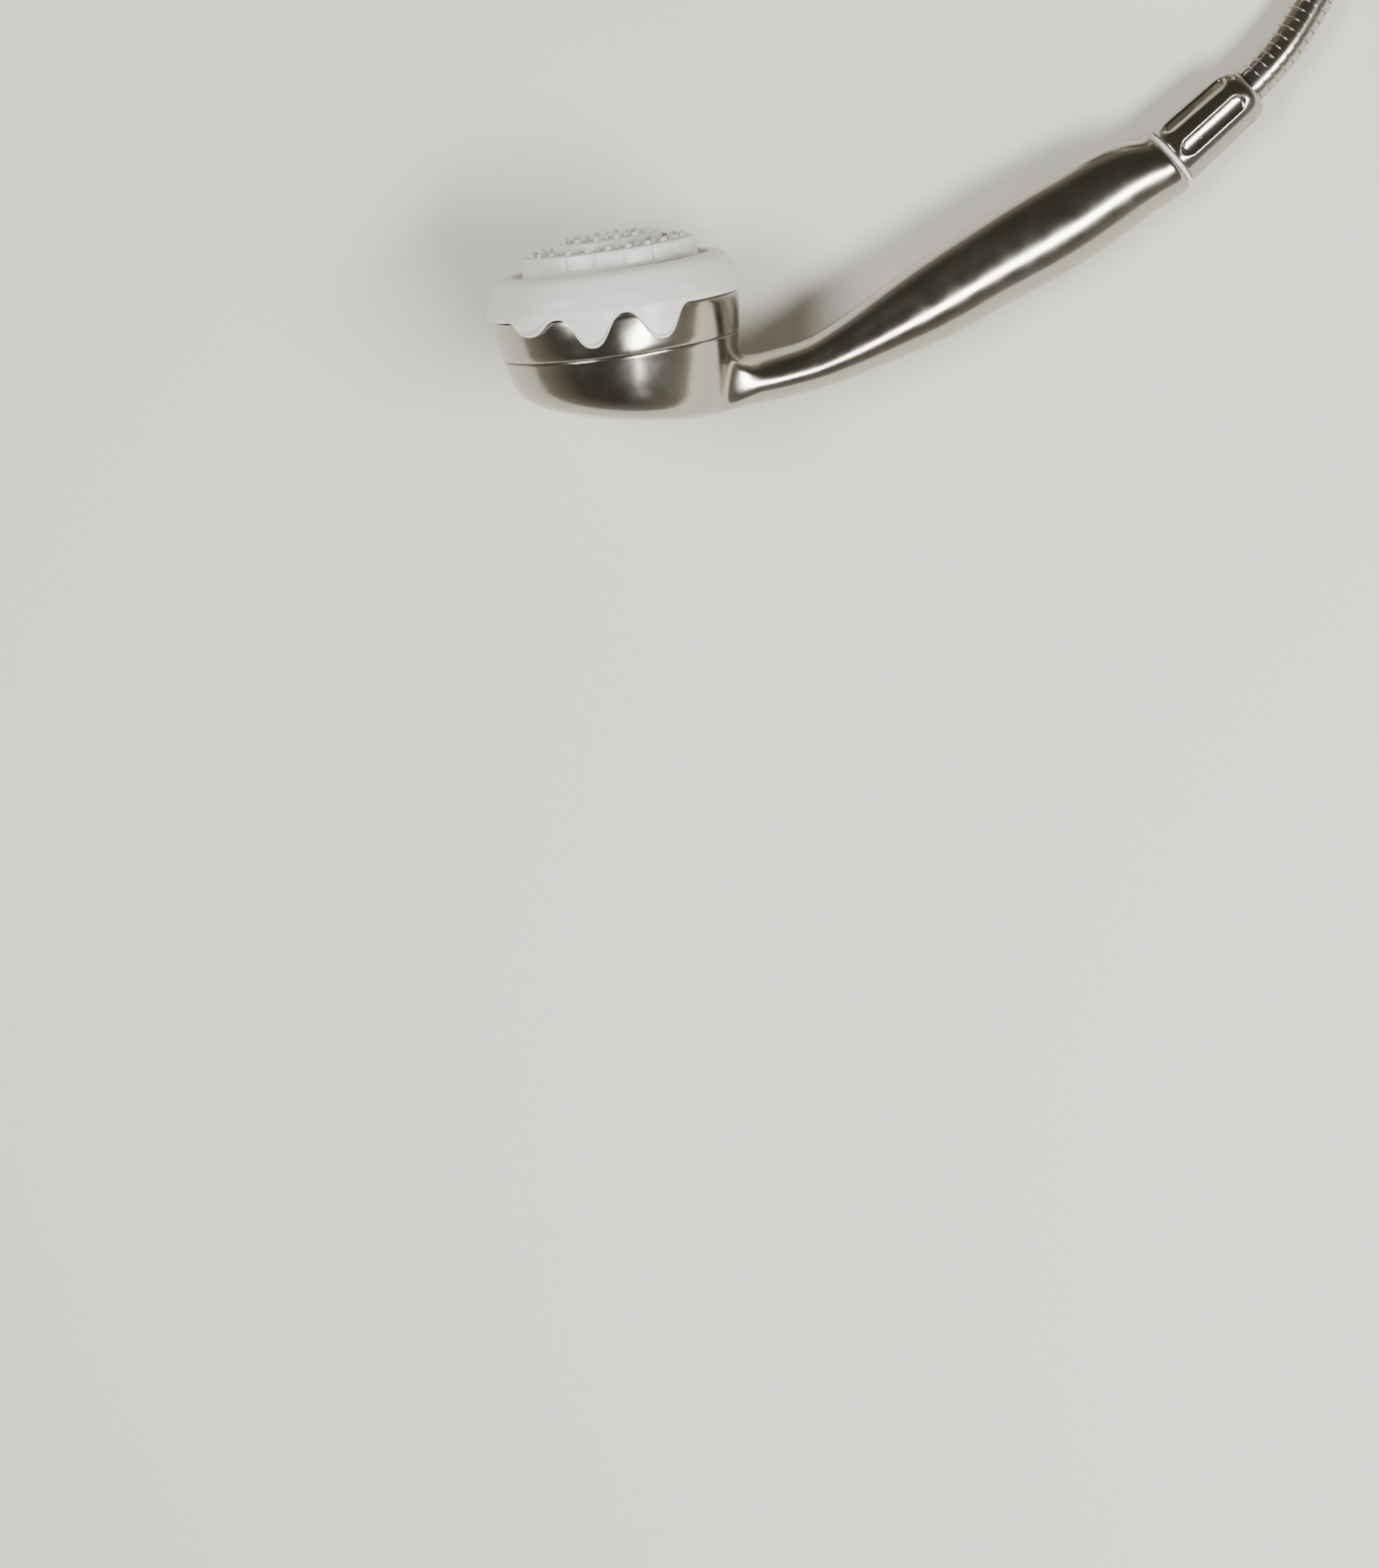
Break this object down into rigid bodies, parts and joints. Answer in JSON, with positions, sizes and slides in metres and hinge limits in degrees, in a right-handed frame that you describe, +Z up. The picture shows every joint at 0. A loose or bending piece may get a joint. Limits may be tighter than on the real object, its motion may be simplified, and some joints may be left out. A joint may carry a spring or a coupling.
{
  "type": "hand shower with hose",
  "caption": "Chrome hand shower with a scalloped turning spray selector, a tapered swivel nut and a coiled spiral metal hose ending in a hexagon union nut.",
  "frame": {"origin": "centre of the bounding box's bottom face, of the handset without its hose, on the surface it lies on", "axes": "+Z up from that surface, +X along the handset from the head to the inlet, +Y the side that the spray face points to"},
  "size_m": [0.3345, 0.3361, 0.0985],
  "materials": {
    "chrome": "bright chrome plating",
    "hose_steel": "polished stainless interlocked strip",
    "white_plastic": "moulded satin gloss",
    "face_plastic": "moulded satin gloss",
    "grey_plastic": "moulded",
    "nozzle_rubber": "soft silicone",
    "black_rubber": "moulded",
    "steel": "plain stainless",
    "brass": "turned",
    "pale_plastic": "moulded"
  },
  "bodies": {
    "handset": {"handset_shell": "chrome", "chrome_collar": "chrome", "waterway_base": "grey_plastic", "base_oring": "black_rubber", "port_seal": "black_rubber", "seal_spring": "steel", "detent_spring": "steel", "screw_washer": "steel", "retaining_screw": "steel", "inlet_nipple": "pale_plastic", "inlet_filter": "steel", "flow_regulator": "grey_plastic", "regulator_oring": "black_rubber", "hose_washer": "black_rubber", "hose_nipple": "brass", "crimp_sleeve": "chrome", "hose": "hose_steel", "hose_coil": "hose_steel", "hose_tail": "hose_steel", "wall_hose_nipple": "brass", "wall_crimp_sleeve": "chrome", "wall_washer": "black_rubber"},
    "face": {"distribution_disc": "grey_plastic", "chamber_plate": "grey_plastic", "face_oring": "black_rubber", "selector_ring": "white_plastic", "face_plate": "face_plastic", "nozzle_mat": "nozzle_rubber", "turbine_cup": "grey_plastic", "turbine_pin": "steel", "massage_plate": "face_plastic"},
    "turbine": {"turbine_wheel": "grey_plastic"},
    "detent": {"detent_ball": "steel"},
    "cone_nut": {"cone_nut": "chrome"},
    "wall_nut": {"wall_nut": "chrome"}
  },
  "joints": [
    {"name": "selector_turn", "type": "hinge", "parent": "handset", "child": "face", "pos_m": [-0.09789, -0.01826, 0.04943], "axis": [-0.0889, 0.9673, 0.2374], "range_deg": [-45, 45]},
    {"name": "turbine_spin", "type": "hinge", "parent": "face", "child": "turbine", "pos_m": [-0.09789, -0.01826, 0.04943], "axis": [-0.0889, 0.9673, 0.2374], "continuous": true},
    {"name": "detent_press", "type": "slide", "parent": "handset", "child": "detent", "axis": [0.0889, -0.9673, -0.2374], "range_m": [0, 0.0007], "stiffness_N_per_m": 2000},
    {"name": "cone_nut_turn", "type": "hinge", "parent": "handset", "child": "cone_nut", "pos_m": [0.11227, 0.03411, 0.01292], "axis": [0.7505, 0.6605, -0.0242], "continuous": true},
    {"name": "wall_nut_turn", "type": "hinge", "parent": "handset", "child": "wall_nut", "pos_m": [0.17255, 0.21573, 0.0404], "axis": [0.0351, 0.9994, 0], "continuous": true}
  ]
}
